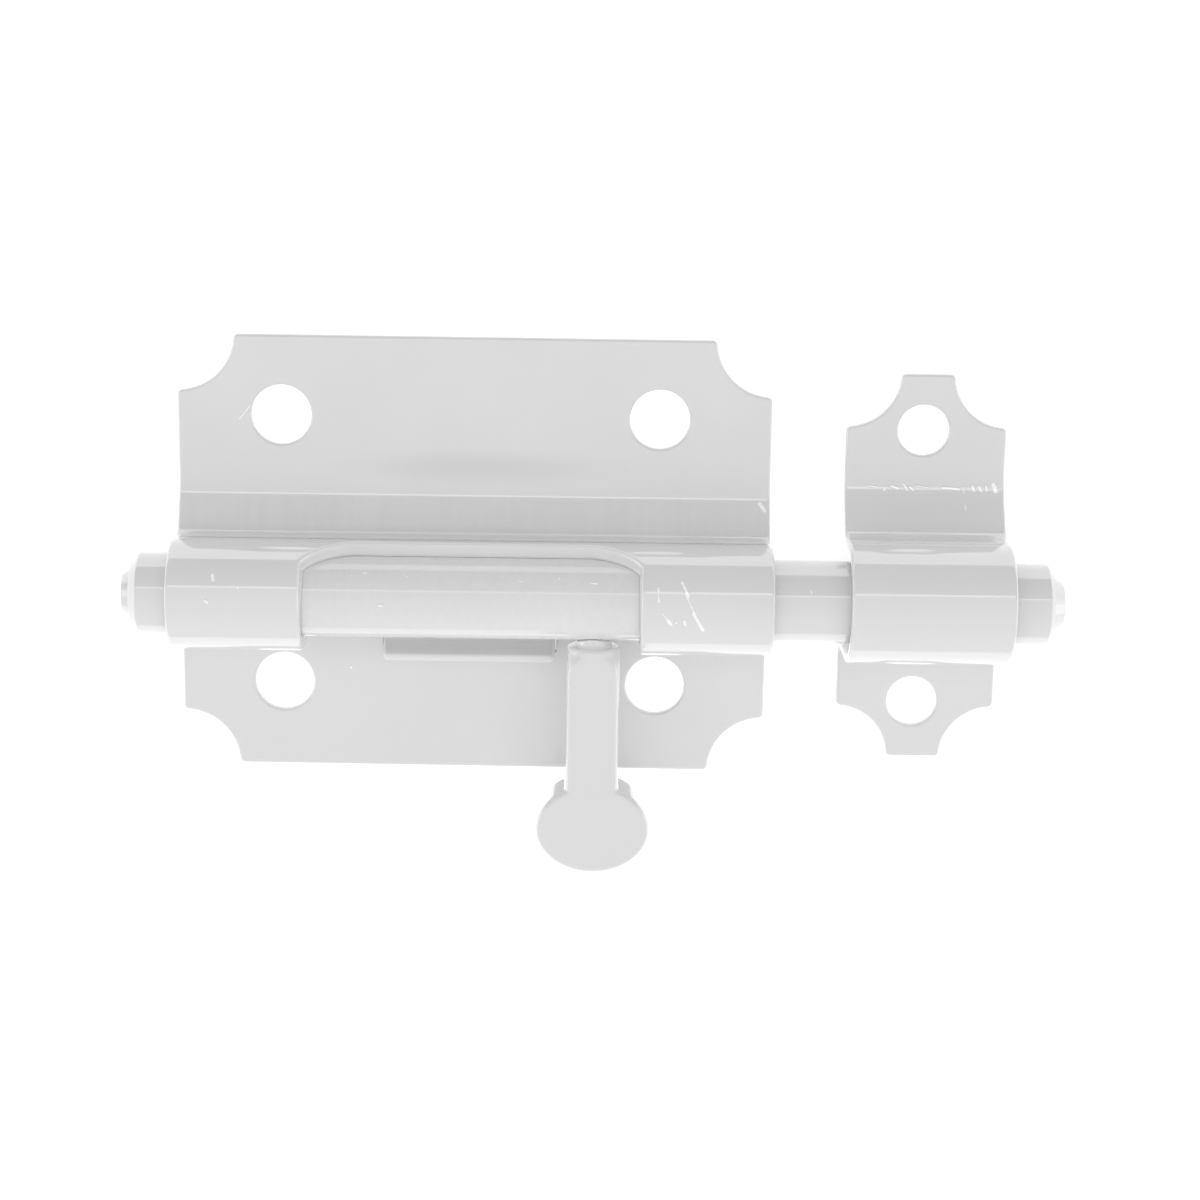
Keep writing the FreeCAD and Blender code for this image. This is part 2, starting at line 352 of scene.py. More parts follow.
def folding_tree():
    """Lays the flat blank along its section; the tongue follows a section of its own."""
    tree = bpy.data.node_groups.new("fold_the_blank", "GeometryNodeTree")
    add_input(tree, "Blank", "NodeSocketGeometry")
    add_input(tree, "Section", "NodeSocketObject")
    add_input(tree, "Tongue section", "NodeSocketObject")
    add_input(tree, "Tongue half width", "NodeSocketFloat", 0.0)
    add_input(tree, "Tongue tip", "NodeSocketFloat", 0.0)
    add_input(tree, "Tongue root", "NodeSocketFloat", 0.0)
    add_input(tree, "Paint", "NodeSocketMaterial")
    tree.interface.new_socket(name="Folded", in_out="OUTPUT", socket_type="NodeSocketGeometry")
    links = tree.links
    given = node(tree, "NodeGroupInput").outputs
    place = node(tree, "ShaderNodeSeparateXYZ")
    links.new(node(tree, "GeometryNodeInputPosition").outputs[0], place.inputs[0])
    across, along, height = place.outputs
    past_tip = maths(tree, "SUBTRACT", along, given["Tongue tip"])
    found = []
    for name, reach in (("Section", along), ("Tongue section", past_tip)):
        line = node(tree, "GeometryNodeObjectInfo", transform_space="ORIGINAL")
        links.new(given[name], line.inputs["Object"])
        sample = node(tree, "GeometryNodeSampleCurve", mode="LENGTH", use_all_curves=True)
        links.new(line.outputs["Geometry"], sample.inputs["Curves"])
        links.new(reach, sample.inputs["Length"])
        found.append(sample)
    in_width = maths(tree, "LESS_THAN", maths(tree, "ABSOLUTE", across), given["Tongue half width"])
    after_tip = maths(tree, "GREATER_THAN", past_tip, -HOLD)
    before_root = maths(tree, "LESS_THAN", along, given["Tongue root"])
    on_tongue = maths(tree, "MULTIPLY", in_width, maths(tree, "MULTIPLY", after_tip, before_root))
    picked = []
    for name in ("Position", "Tangent"):
        choice = node(tree, "GeometryNodeSwitch", input_type="VECTOR")
        links.new(on_tongue, choice.inputs["Switch"])
        links.new(found[0].outputs[name], choice.inputs["False"])
        links.new(found[1].outputs[name], choice.inputs["True"])
        picked.append(choice.outputs[0])
    out = vectors(tree, "CROSS_PRODUCT", picked[1], (1, 0, 0))
    lift = vectors(tree, "SCALE", vectors(tree, "NORMALIZE", out.outputs[0]).outputs[0])
    links.new(height, lift.inputs["Scale"])
    sideways = node(tree, "ShaderNodeCombineXYZ")
    links.new(across, sideways.inputs[0])
    folded = vectors(tree, "ADD", picked[0], lift.outputs[0]).outputs[0]
    folded = vectors(tree, "ADD", folded, sideways.outputs[0]).outputs[0]
    # the blank's length runs to -Y, which turns its faces inside out
    flipped = node(tree, "GeometryNodeFlipFaces")
    links.new(given["Blank"], flipped.inputs["Mesh"])
    moved = node(tree, "GeometryNodeSetPosition")
    links.new(flipped.outputs[0], moved.inputs["Geometry"])
    links.new(folded, moved.inputs["Position"])
    finish_tree(tree, moved.outputs[0], given["Paint"])
    return tree


def finish_tree(tree, geometry, paint):
    """Every tree ends in real mesh with its paint on."""
    real = node(tree, "GeometryNodeRealizeInstances")
    coated = node(tree, "GeometryNodeSetMaterial")
    result = node(tree, "NodeGroupOutput")
    tree.links.new(geometry, real.inputs["Geometry"])
    tree.links.new(real.outputs[0], coated.inputs["Geometry"])
    tree.links.new(paint, coated.inputs["Material"])
    tree.links.new(coated.outputs[0], result.inputs[0])


def settle(piece):
    """Makes one plain mesh of a piece and its modifiers."""
    bpy.context.view_layer.update()
    shown = piece.evaluated_get(bpy.context.evaluated_depsgraph_get())
    mesh = bpy.data.meshes.new_from_object(shown)
    piece.modifiers.clear()
    piece.data = mesh
    mesh.name = piece.name
    mesh.shade_smooth()


def run_tree(piece, tree, **values):
    """Runs the tree on the piece with named inputs, and keeps the result as its plain mesh."""
    modifier = piece.modifiers.new(tree.name, "NODES")
    modifier.node_group = tree
    for socket in tree.interface.items_tree:
        key = socket.name.lower().replace(" ", "_")
        if key in values:
            modifier[socket.identifier] = values[key]
    settle(piece)


def stroke_mask(tree, place, strokes, core):
    """How strongly a place is marked by strokes from start to end; the core is their full part."""
    strongest = 0.0
    for start, end, half in strokes:
        start, end = Vector(start) * MM, Vector(end) * MM
        length = (end - start).length
        aim = (end - start).normalized() if length else Vector((1, 0, 0))
        there = vectors(tree, "SUBTRACT", place, start).outputs[0]
        reach = vectors(tree, "DOT_PRODUCT", there, aim).outputs["Value"]
        reach = maths(tree, "MINIMUM", maths(tree, "MAXIMUM", reach, 0.0), length)
        nearest = vectors(tree, "SCALE", aim)
        tree.links.new(reach, nearest.inputs["Scale"])
        away = vectors(tree, "DISTANCE", there, nearest.outputs[0]).outputs["Value"]
        part = node(tree, "ShaderNodeMapRange", interpolation_type="SMOOTHSTEP")
        part.inputs["From Min"].default_value = half * MM
        part.inputs["From Max"].default_value = half * MM * core
        tree.links.new(away, part.inputs["Value"])
        strongest = maths(tree, "MAXIMUM", strongest, part.outputs[0])
    return strongest


ENAMEL_IOR = 1.5
TOP_COAT_IOR = 2.0
TOP_COAT_ROUGHNESS = 0.05
# scale and detail of each noise, and the part of a noise's range that is used
TONE_NOISE = (90, 3)
GLOSS_NOISE = (400, 2)
PEEL_NOISE = (700, 2)
STREAK_NOISE = (1400, 1)
SCUFF_NOISE = (1100, 4)
RAGGED_NOISE = (2500, 2)
NOISE_USED = (0.3, 0.7)
TONE_VARIES = (0.985, 1.015)
GLOSS_VARIES = (0.1, 0.16)
PEEL_STRENGTH = 0.12
PEEL_HEIGHT = 0.02 * MM
DARK_PATCH_DEPTH = 0.11
DARK_PATCH_STRETCH = (0.13, 1, 1)
STREAK_DEPTH = 0.012
STREAK_STRETCH = (1, 0.07, 0.07)
SCUFF_VARIES = (0.45, 0.95)
SCUFF_FADE = 1.5 * MM
SCUFF_DULL = 0.8
SCUFF_PALE = 0.02
SCRATCH_CORE = 0.5
SCRATCH_RAGGED = 0.16 * MM
SCRATCH_RIDGE = 0.06 * MM
# the marks glow faintly and are lifted to full white: a painted highlight on the scratches, chips and
# grit
SCRATCH_GLOW = 0.14


def gloss_paint(name, tone, marks_and_glints=(), dark_patches=(), streaks=(), scuffed=()):
    """Sprayed gloss enamel: slight orange peel, slow changes of tone and gloss, darker patches, and
    marks of use that carry a painted highlight.

    Streaks lie between two heights on the ramp, and the scuffed zone between two places along X.
    """
    paint = bpy.data.materials.new(name)
    paint.use_nodes = True
    tree = paint.node_tree
    shader = tree.nodes["Principled BSDF"]
    shader.inputs["IOR"].default_value = ENAMEL_IOR
    shader.inputs["Coat Weight"].default_value = 1.0
    shader.inputs["Coat IOR"].default_value = TOP_COAT_IOR
    shader.inputs["Coat Roughness"].default_value = TOP_COAT_ROUGHNESS
    place = node(tree, "ShaderNodeTexCoord").outputs["Object"]

    def noise(scale_and_detail, where=place):
        made = node(tree, "ShaderNodeTexNoise")
        made.inputs["Scale"].default_value, made.inputs["Detail"].default_value = scale_and_detail
        tree.links.new(where, made.inputs["Vector"])
        return made

    def spread(texture, low, high):
        made = node(tree, "ShaderNodeMapRange")
        made.inputs["From Min"].default_value, made.inputs["From Max"].default_value = NOISE_USED
        made.inputs["To Min"].default_value = low
        made.inputs["To Max"].default_value = high
        tree.links.new(texture.outputs[0], made.inputs["Value"])
        return made.outputs[0]

    def off_middle(axis, span):
        parts = node(tree, "ShaderNodeSeparateXYZ")
        tree.links.new(place, parts.inputs[0])
        off = maths(tree, "SUBTRACT", parts.outputs[axis], sum(span) / 2 * MM)
        return maths(tree, "ABSOLUTE", off)

    grey = spread(noise(TONE_NOISE), *(tone * part for part in TONE_VARIES))
    gloss = spread(noise(GLOSS_NOISE), *GLOSS_VARIES)
    tree.links.new(gloss, shader.inputs["Roughness"])
    peel = node(tree, "ShaderNodeBump")
    peel.inputs["Strength"].default_value = PEEL_STRENGTH
    peel.inputs["Distance"].default_value = PEEL_HEIGHT
    tree.links.new(noise(PEEL_NOISE).outputs[0], peel.inputs["Height"])
    surface = peel.outputs[0]
    # long patches where the colour is darker, stretched along X
    if dark_patches:
        squeezed = vectors(tree, "MULTIPLY", place, DARK_PATCH_STRETCH).outputs[0]
        darkening = maths(tree, "MULTIPLY", stroke_mask(tree, squeezed, dark_patches, 0.0), DARK_PATCH_DEPTH)
        grey = maths(tree, "MULTIPLY", grey, maths(tree, "SUBTRACT", 1.0, darkening))
    if streaks:
        thin = vectors(tree, "MULTIPLY", place, STREAK_STRETCH).outputs[0]
        rubbed = spread(noise(STREAK_NOISE, thin), -STREAK_DEPTH, STREAK_DEPTH)
        half = (streaks[1] - streaks[0]) / 2 * MM
        inside = maths(tree, "LESS_THAN", off_middle(1, streaks), half)
        grey = maths(tree, "ADD", grey, maths(tree, "MULTIPLY", rubbed, inside))
    if scuffed:
        half = (scuffed[1] - scuffed[0]) / 2 * MM
        fade = node(tree, "ShaderNodeMapRange")
        fade.inputs["From Min"].default_value = half
        fade.inputs["From Max"].default_value = half - SCUFF_FADE
        tree.links.new(off_middle(0, scuffed), fade.inputs["Value"])
        blotch = maths(tree, "MULTIPLY", fade.outputs[0], spread(noise(SCUFF_NOISE), *SCUFF_VARIES))
        dulled = maths(tree, "SUBTRACT", 1.0, maths(tree, "MULTIPLY", blotch, SCUFF_DULL))
        tree.links.new(dulled, shader.inputs["Coat Weight"])
        grey = maths(tree, "ADD", grey, maths(tree, "MULTIPLY", blotch, SCUFF_PALE))
    # each mark is a real scratch, chip or speck drawn as a small ridge, with a painted highlight:
    # colour lifted to full white and a faint glow
    if marks_and_glints:
        ragged = noise(RAGGED_NOISE).outputs["Color"]
        jitter = vectors(tree, "SUBTRACT", ragged, (0.5, 0.5, 0.5)).outputs[0]
        nudge = vectors(tree, "SCALE", jitter)
        nudge.inputs["Scale"].default_value = SCRATCH_RAGGED
        moved = vectors(tree, "ADD", place, nudge.outputs[0]).outputs[0]
        mark_and_glint = stroke_mask(tree, moved, marks_and_glints, SCRATCH_CORE)
        grey = maths(tree, "ADD", grey, maths(tree, "MULTIPLY", mark_and_glint, 1 - tone))
        # painted highlight: a faint white glow along the marks
        painted_glow = maths(tree, "MULTIPLY", mark_and_glint, SCRATCH_GLOW)
        tree.links.new(painted_glow, shader.inputs["Emission Strength"])
        shader.inputs["Emission Color"].default_value = (1, 1, 1, 1)
        paint.cycles.emission_sampling = "NONE"
        ridge = node(tree, "ShaderNodeBump")
        ridge.inputs["Distance"].default_value = SCRATCH_RIDGE
        tree.links.new(mark_and_glint, ridge.inputs["Height"])
        tree.links.new(surface, ridge.inputs["Normal"])
        surface = ridge.outputs[0]
    tree.links.new(surface, shader.inputs["Normal"])
    tree.links.new(surface, shader.inputs["Coat Normal"])
    tree.links.new(grey, shader.inputs["Base Color"])
    return paint


NIB_SHAPE = (1.0, 1.0, 0.6)
NIB_SUBDIVISIONS = 3
NIB_FACING = 0.3


def scatter_tree():
    """Paint nibs: specks of grit under the enamel, on the faces that looked up in the booth."""
    tree = bpy.data.node_groups.new("strew_nibs", "GeometryNodeTree")
    add_input(tree, "Coated", "NodeSocketGeometry")
    add_input(tree, "Nibs per area", "NodeSocketFloat", 0.0)
    add_input(tree, "Smallest nib", "NodeSocketFloat", 0.0)
    add_input(tree, "Largest nib", "NodeSocketFloat", 0.0)
    add_input(tree, "Seed", "NodeSocketInt", 0)
    add_input(tree, "Paint", "NodeSocketMaterial")
    tree.interface.new_socket(name="Nibbed", in_out="OUTPUT", socket_type="NodeSocketGeometry")
    links = tree.links
    given = node(tree, "NodeGroupInput").outputs
    facing = node(tree, "ShaderNodeSeparateXYZ")
    links.new(node(tree, "GeometryNodeInputNormal").outputs[0], facing.inputs[0])
    strewn = node(tree, "GeometryNodeDistributePointsOnFaces")
    links.new(given["Coated"], strewn.inputs["Mesh"])
    upward = maths(tree, "GREATER_THAN", facing.outputs[2], NIB_FACING)
    links.new(upward, strewn.inputs["Selection"])
    links.new(given["Nibs per area"], strewn.inputs["Density"])
    links.new(given["Seed"], strewn.inputs["Seed"])
    grain = node(tree, "GeometryNodeMeshIcoSphere")
    grain.inputs["Radius"].default_value = 1.0
    grain.inputs["Subdivisions"].default_value = NIB_SUBDIVISIONS
    size = node(tree, "FunctionNodeRandomValue", data_type="FLOAT")
    links.new(given["Smallest nib"], size.inputs[2])
    links.new(given["Largest nib"], size.inputs[3])
    links.new(given["Seed"], size.inputs["Seed"])
    planted = node(tree, "GeometryNodeInstanceOnPoints")
    links.new(strewn.outputs["Points"], planted.inputs["Points"])
    links.new(grain.outputs["Mesh"], planted.inputs["Instance"])
    links.new(strewn.outputs["Rotation"], planted.inputs["Rotation"])
    shape = vectors(tree, "SCALE", NIB_SHAPE)
    links.new(size.outputs[1], shape.inputs["Scale"])
    links.new(shape.outputs[0], planted.inputs["Scale"])
    both = node(tree, "GeometryNodeJoinGeometry")
    links.new(planted.outputs[0], both.inputs[0])
    links.new(given["Coated"], both.inputs[0])
    finish_tree(tree, both.outputs[0], given["Paint"])
    return tree


PLATE_TONE = 0.88
# scratches, each with a painted highlight (full white and a faint glow); start, end and half width in
# millimetres
PLATE_SCRATCHES_AND_GLINTS = [
    ((21.2, -0.4, 11.7), (21.9, -1.7, 12.3), 0.17),
    ((21.6, -1.4, 12.2), (22.6, -3.6, 12.5), 0.2),
    ((22.4, -3.4, 12.5), (23.4, -5.1, 12.3), 0.24),
    ((18.9, -1.0, 12.0), (19.0, -2.3, 12.4), 0.15),
    ((19.3, -3.3, 12.5), (20.2, -4.5, 12.4), 0.13),
    ((19.9, -4.1, 12.5), (20.2, -4.5, 12.4), 0.24),
    ((20.7, -4.3, 12.5), (20.7, -4.3, 12.5), 0.18),
    ((21.5, -4.2, 12.5), (21.6, -4.5, 12.4), 0.22),
    ((-24.8, -0.3, 11.7), (-24.7, -0.8, 11.9), 0.2),
    ((-25.4, -2.8, 12.5), (-25.3, -2.9, 12.5), 0.22),
    ((-22.3, -1.3, 12.2), (-22.3, -1.5, 12.2), 0.12),
    ((-23.3, 13.4, 1.0), (-22.2, 14.8, 1.0), 0.13),
    ((-12.3, -12.3, 1.0), (-12.2, -12.4, 1.0), 0.14),
    ((29.4, 5.5, 1.3), (29.9, 4.8, 1.6), 0.3),
]
# a darker band along the flange just above the crease
PLATE_DARK_PATCHES = [((0.1, 8.8, 1.0), (0.2, 8.8, 1.0), 2.3)]
# where the ramp's streaks start and end up the door, in millimetres
PLATE_STREAKS = (2.4, 5.8)
NIBS_PER_AREA = 9000
SMALLEST_NIB = 0.03 * MM
LARGEST_NIB = 0.09 * MM
NIB_SEED = 4

plate_low, plate_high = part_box("bolt_plate")
screws = next(m for m in frame["record"]["mounts"] if m["name"] == "plate_screws")["dims"]
plate_bottom = plate_low.y - PLATE_OVERCUT
plate_steps, plate_sleeve_r, plate_side_s, plate_foot_y = sleeve_steps(
    plate_high.y, plate_bottom, PLATE_CREASE_Y, PLATE_CREASE_R, PLATE_RAMP, PLATE_PINCH, PLATE_PLAY
)
plate_points, plate_reaches = walk(plate_steps, plate_high.y, SHEET / 2)
plate_length = plate_reaches[-1]


def plate_reach(y):
    """Where a place on the near flange lies on the flat blank."""
    return plate_length - (y - plate_bottom)


def window_loop():
    """The window and the tongue inside it, walked so that the metal is on its left."""
    middle = (plate_low.x + plate_high.x) / 2
    x0, x1 = middle - WINDOW_LENGTH / 2, middle + WINDOW_LENGTH / 2
    leg = plate_reach(plate_foot_y) - LEG_LIP
    root = plate_reach(TAB_FOOT_Y)
    top = plate_side_s + plate_sleeve_r * WINDOW_EDGE_RISE
    corner = []
    for i in range(WINDOW_CORNER_STEPS + 1):
        a = math.pi / 2 * i / WINDOW_CORNER_STEPS
        inset = WINDOW_CORNER_LENGTH * (1 - math.sin(a) ** WINDOW_CORNER_FULLNESS)
        drop = WINDOW_CORNER_GIRTH * (1 - abs(math.cos(a)) ** WINDOW_CORNER_FULLNESS)
        corner.append((inset, top + drop))
    tongue = []
    for side in (1, -1):
        edge = side * TAB_HALF_WIDTH
        soft = arc(
            (edge - side * TAB_CORNER_R, tongue_tip + TAB_CORNER_R),
            TAB_CORNER_R,
            0 if side > 0 else -math.pi / 2,
            -math.pi / 2 if side > 0 else -math.pi,
        )
        slit = [(edge + side * TAB_SLIT, leg), (edge + side * TAB_SLIT, root), (edge, root)]
        tongue += slit + soft if side > 0 else soft + slit[::-1]
    loop = [(x0 + inset, s) for inset, s in reversed(corner)]
    loop += [(x1 - inset, s) for inset, s in corner]
    loop += [(x1, leg)] + tongue + [(x0, leg)]
    return loop[::-1]


tab_turn = math.pi / 2 + TAB_LEAN
tab_bend = bend_travel(TAB_BEND_R, 0, tab_turn)
tab_rise = TAB_TOP_Z - SHEET * math.sin(TAB_LEAN) / 2 - SHEET / 2 - tab_bend[1]
tongue_points, tongue_reaches = walk(
    [("bend", TAB_BEND_R, tab_turn), ("run", tab_rise / math.sin(tab_turn))],
    -TAB_FOOT_Y,
    SHEET / 2,
)
# the tongue is walked from its root to its tip and towards -Y, so its line is turned about
tongue_line = section_line("tongue_section", [(-y, z) for y, z in reversed(tongue_points)])
tongue_root = plate_reach(TAB_FOOT_Y)
tongue_tip = tongue_root - tongue_reaches[-1]
tongue_cuts = [tongue_root - reach for reach in tongue_reaches[1:-1]]

screw_x = screws["spacing_x_mm"] * MM / 2
screw_y = screws["spacing_y_mm"] * MM / 2
plate_holes = [
    screw_hole(side * screw_x, s, screws["hole_r_mm"] * MM)
    for side in (-1, 1)
    for s in (plate_high.y - screw_y, plate_reach(-screw_y))
]
plate_outline = notched_outline(
    plate_low.x, plate_high.x, 0, plate_length, PLATE_NOTCH_R, PLATE_SKEW
)
tab_shears = [
    (edge - 2 * TAB_SLIT, edge + 2 * TAB_SLIT, tongue_root - SHEARED_LENGTH, tongue_root + TAB_SLIT)
    for edge in (-TAB_HALF_WIDTH, TAB_HALF_WIDTH)
]
bolt_plate = keep_mesh(
    slab(
        [plate_outline, window_loop()] + plate_holes,
        SHEET,
        RIM_R,
        cuts=sorted(plate_reaches[1:-1] + tongue_cuts),
        bead=(PLATE_BEAD, plate_side_s - BEAD_FADE, plate_side_s + math.pi * plate_sleeve_r),
        shears=tab_shears,
    ),
    "painted_bolt_plate",
)
plate_paint = gloss_paint(
    "white_plate_enamel", PLATE_TONE, PLATE_SCRATCHES_AND_GLINTS, PLATE_DARK_PATCHES, PLATE_STREAKS
)
plate_line = section_line("plate_section", plate_points)
fold = folding_tree()
run_tree(
    bolt_plate,
    fold,
    section=plate_line,
    tongue_section=tongue_line,
    tongue_half_width=TAB_HALF_WIDTH + TAB_SLIT / 2,
    tongue_tip=tongue_tip,
    tongue_root=tongue_root,
    paint=plate_paint,
)
run_tree(
    bolt_plate,
    scatter_tree(),
    nibs_per_area=NIBS_PER_AREA,
    smallest_nib=SMALLEST_NIB,
    largest_nib=LARGEST_NIB,
    seed=NIB_SEED,
    paint=plate_paint,
)
for line in (plate_line, tongue_line):
    bpy.data.objects.remove(line)
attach(bolt_plate, "base")
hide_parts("bolt_plate")

# Strike plate
# The keeper that the rod shoots into: a narrow strip of the same sheet with two screw holes and
# notched ends, pressed over a wider mandrel. Its paint has flaked along the crease, and the flakes
# carry a painted highlight.
STRIKE_CREASE_Y = 9.5 * MM
STRIKE_CREASE_R = 7.4 * MM
STRIKE_NOTCH_R = 5.4 * MM
STRIKE_RAMP = math.radians(35)
STRIKE_PLAY = 1.0 * MM
STRIKE_BEAD = 0.4 * MM

strike_low, strike_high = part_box("strike_plate")
strike_mount = next(m for m in frame["record"]["mounts"] if m["name"] == "strike_screws")
strike_steps, strike_sleeve_r, strike_side_s, _ = sleeve_steps(
    strike_high.y, strike_low.y, STRIKE_CREASE_Y, STRIKE_CREASE_R, STRIKE_RAMP, 0.0, STRIKE_PLAY
)
strike_points, strike_reaches = walk(strike_steps, strike_high.y, SHEET / 2)
strike_length = strike_reaches[-1]
hole_x, hole_mid_y, _ = strike_mount["pos_m"]
hole_half = strike_mount["dims"]["spacing_y_mm"] * MM / 2
hole_r = strike_mount["dims"]["hole_r_mm"] * MM
far_hole_s = strike_high.y - (hole_mid_y + hole_half)
near_hole_s = strike_length - (hole_mid_y - hole_half - strike_low.y)
strike_plate = keep_mesh(
    slab(
        [
            notched_outline(strike_low.x, strike_high.x, 0, strike_length, STRIKE_NOTCH_R),
            screw_hole(hole_x, far_hole_s, hole_r),
            screw_hole(hole_x, near_hole_s, hole_r),
        ],
        SHEET,
        RIM_R,
        cuts=strike_reaches[1:-1],
        bead=(STRIKE_BEAD, strike_side_s - BEAD_FADE, strike_side_s + math.pi * strike_sleeve_r),
    ),
    "painted_strike_plate",
)
# flakes along the crease, each with a painted highlight (full white and a faint glow); start, end and
# half width in millimetres
STRIKE_CHIPS_AND_GLINTS = [
    ((40.4, 7.5, 1.33), (41.2, 7.4, 1.33), 0.16),
    ((42.0, 7.4, 1.33), (42.0, 7.1, 1.42), 0.14),
    ((42.7, 7.5, 1.33), (43.4, 7.3, 1.42), 0.2),
    ((43.9, 7.8, 1.33), (44.3, 7.2, 1.42), 0.2),
    ((44.6, 7.4, 1.33), (44.9, 7.2, 1.42), 0.2),
    ((45.3, 7.6, 1.33), (46.4, 7.4, 1.33), 0.12),
    ((47.9, 7.4, 1.33), (49.6, 7.3, 1.42), 0.18),
    ((50.0, 7.5, 1.33), (50.2, 5.4, 2.4), 0.14),
    ((50.9, 7.6, 1.33), (51.1, 7.2, 1.42), 0.2),
    ((51.6, 7.6, 1.33), (51.8, 7.2, 1.42), 0.2),
    ((52.3, 7.7, 1.33), (52.4, 7.2, 1.42), 0.18),
    ((53.1, 7.8, 1.33), (53.3, 7.2, 1.42), 0.34),
]
strike_paint = gloss_paint("white_strike_enamel", PLATE_TONE, STRIKE_CHIPS_AND_GLINTS)
strike_line = section_line("strike_section", strike_points)
run_tree(strike_plate, fold, section=strike_line, paint=strike_paint)
bpy.data.objects.remove(strike_line)
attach(strike_plate, "base")
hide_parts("strike_plate")

# Rod
# A length of 8 mm bright bar with chamfered ends, each turned down to a short nose, under the same
# thick enamel. Grit caught in the wet paint shows where the window leaves the bar open, as specks
# with a painted highlight, and that stretch is scuffed dull.
ROD_CHAMFER = 0.8 * MM
ROD_END_WEAR = 0.4 * MM
LEFT_NOSE_TIP_R = 2.05 * MM
LEFT_NOSE_ROOT_R = 2.6 * MM
LEFT_NOSE_LENGTH = 0.95 * MM
RIGHT_NOSE_TIP_R = 2.3 * MM
RIGHT_NOSE_ROOT_R = 3.3 * MM
RIGHT_NOSE_LENGTH = 1.3 * MM
ROD_EDGE_R = 0.22 * MM
TURNED_SIDES = 144
SOFT_STEPS = 6
# the most of a line's shorter side that the round of a corner may take
SOFT_SHARE = 0.45
ROD_TONE = 0.88
# grit specks, each with a painted highlight (full white and a faint glow); start, end and half width
# in millimetres
ROD_NIBS_AND_GLINTS = [
    ((-10.2, -0.3, 9.9), (-9.8, -0.3, 9.9), 0.12),
    ((-11.4, -0.6, 10.1), (-11.3, -0.5, 10.1), 0.1),
    ((-6.4, -0.4, 9.9), (-5.9, -0.6, 10.1), 0.1),
    ((-8.6, -3.3, 11.15), (-8.2, -3.4, 11.15), 0.14),
    ((5.2, -0.8, 10.3), (5.6, -0.9, 10.3), 0.1),
    ((9.1, -0.6, 10.2), (9.2, -0.5, 10.1), 0.12),
    ((12.2, -0.9, 10.4), (12.9, -1.0, 10.4), 0.1),
    ((34.0, -1.4, 10.7), (34.1, -1.5, 10.8), 0.12),
]
# where the scuffed zone starts and ends along the bar, in millimetres
ROD_SCUFFED = (-16.8, 17.6)


def soften(points, radius):
    """Rounds each inner corner of a line, with a spare point close to each end of the round."""
    line = [points[0]]
    for before, corner, after in zip(points, points[1:], points[2:]):
        here = Vector(corner)
        back, ahead = Vector(before) - here, Vector(after) - here
        opening = back.angle(ahead)
        room = min(back.length, ahead.length) * SOFT_SHARE
        cut = min(radius / math.tan(opening / 2), room)
        soft_r = cut * math.tan(opening / 2)
        back.normalize()
        ahead.normalize()
        centre = here + (back + ahead).normalized() * (soft_r / math.sin(opening / 2))
        spoke = here + back * cut - centre
        sweep = math.copysign(math.pi - opening, back.y * ahead.x - back.x * ahead.y)
        if cut + HOLD < room:
            line.append(tuple(here + back * (cut + HOLD)))
        for i in range(SOFT_STEPS + 1):
            a = sweep * i / SOFT_STEPS
            swung = Vector(
                (
                    spoke.x * math.cos(a) - spoke.y * math.sin(a),
                    spoke.x * math.sin(a) + spoke.y * math.cos(a),
                )
            )
            line.append(tuple(centre + swung))
        if cut + HOLD < room:
            line.append(tuple(here + ahead * (cut + HOLD)))
    return line + [points[-1]]


def turned(work, profile, origin, along, aside, squareness=None):
    """Round solid from a profile of places along its axis and radii, closed at both ends.

    The squareness of a place along the axis is 2 for a round ring and more for a squarer one.
    """
    other = along.cross(aside)
    rings = []
    for reach, radius in profile:
        if radius == 0:
            rings.append([work.verts.new(origin + along * reach)])
            continue
        power = 2 / squareness(reach) if squareness else 1
        ring = []
        for i in range(TURNED_SIDES):
            a = 2 * math.pi * i / TURNED_SIDES
            u = math.copysign(abs(math.cos(a)) ** power, math.cos(a)) * radius
            v = math.copysign(abs(math.sin(a)) ** power, math.sin(a)) * radius
            ring.append(work.verts.new(origin + along * reach + aside * u + other * v))
        rings.append(ring)
    for low, high in zip(rings, rings[1:]):
        for i in range(TURNED_SIDES):
            j = (i + 1) % TURNED_SIDES
            corners = [low[i % len(low)], low[j % len(low)], high[j % len(high)], high[i % len(high)]]
            unique = list(dict.fromkeys(corners))
            if len(unique) > 2:
                work.faces.new(unique)
    bmesh.ops.recalc_face_normals(work, faces=work.faces)
    return work


rod_low, rod_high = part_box("bolt_rod")
left_tip = rod_low.x + ROD_END_WEAR
right_tip = rod_high.x - ROD_END_WEAR
left_shoulder = left_tip + LEFT_NOSE_LENGTH
right_shoulder = right_tip - RIGHT_NOSE_LENGTH
rod_profile = soften(
    [
        (left_tip, 0),
        (left_tip, LEFT_NOSE_TIP_R),
        (left_shoulder, LEFT_NOSE_ROOT_R),
        (left_shoulder, ROD_R - ROD_CHAMFER),
        (left_shoulder + ROD_CHAMFER, ROD_R),
        (right_shoulder - ROD_CHAMFER / 2, ROD_R),
        (right_shoulder, ROD_R - ROD_CHAMFER / 2),
        (right_shoulder, RIGHT_NOSE_ROOT_R),
        (right_tip, RIGHT_NOSE_TIP_R),
        (right_tip, 0),
    ],
    ROD_EDGE_R,
)
bolt_rod = keep_mesh(
    turned(
        bmesh.new(),
        rod_profile,
        Vector((0, AXIS_Y, AXIS_Z)),
        Vector((1, 0, 0)),
        Vector((0, 1, 0)),
    ),
    "painted_bolt_rod",
)
rod_paint = gloss_paint("white_rod_enamel", ROD_TONE, ROD_NIBS_AND_GLINTS, scuffed=ROD_SCUFFED)
bolt_rod.data.materials.append(rod_paint)
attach(bolt_rod, "rod")
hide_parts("bolt_rod")

